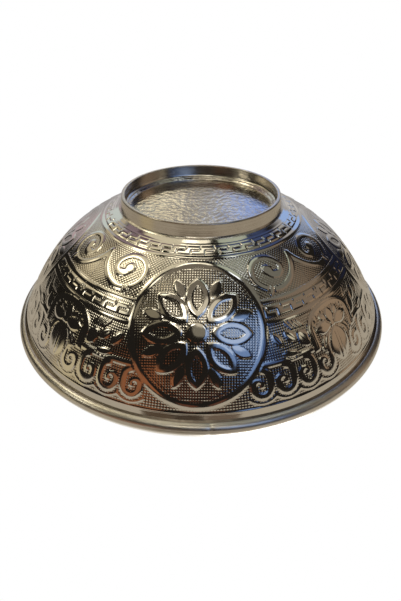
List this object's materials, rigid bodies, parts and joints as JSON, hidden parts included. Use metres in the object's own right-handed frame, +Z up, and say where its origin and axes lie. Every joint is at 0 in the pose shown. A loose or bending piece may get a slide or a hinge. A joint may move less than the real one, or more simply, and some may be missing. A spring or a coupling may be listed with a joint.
{
  "type": "offering bowl",
  "caption": "Round metal offering bowl with an embossed wall of medallions, lotus, scrolls and key-fret bands, a wire rim and a raised foot ring.",
  "frame": {"origin": "centre of the foot ring's resting face", "axes": "+Z up along the bowl's axis towards its mouth, -Y the front, where one medallion faces"},
  "size_m": [0.11, 0.11, 0.036],
  "materials": {
    "embossed_plate": "polished",
    "rim_plate": "polished",
    "foot_plate": "satin",
    "solder": "satin"
  },
  "bodies": {
    "root": {"bowl_shell": "embossed_plate", "rim_wire": "rim_plate", "rim_seam": "solder", "foot_ring": "foot_plate", "foot_seam_outer": "solder", "foot_seam_inner": "solder"}
  },
  "joints": []
}
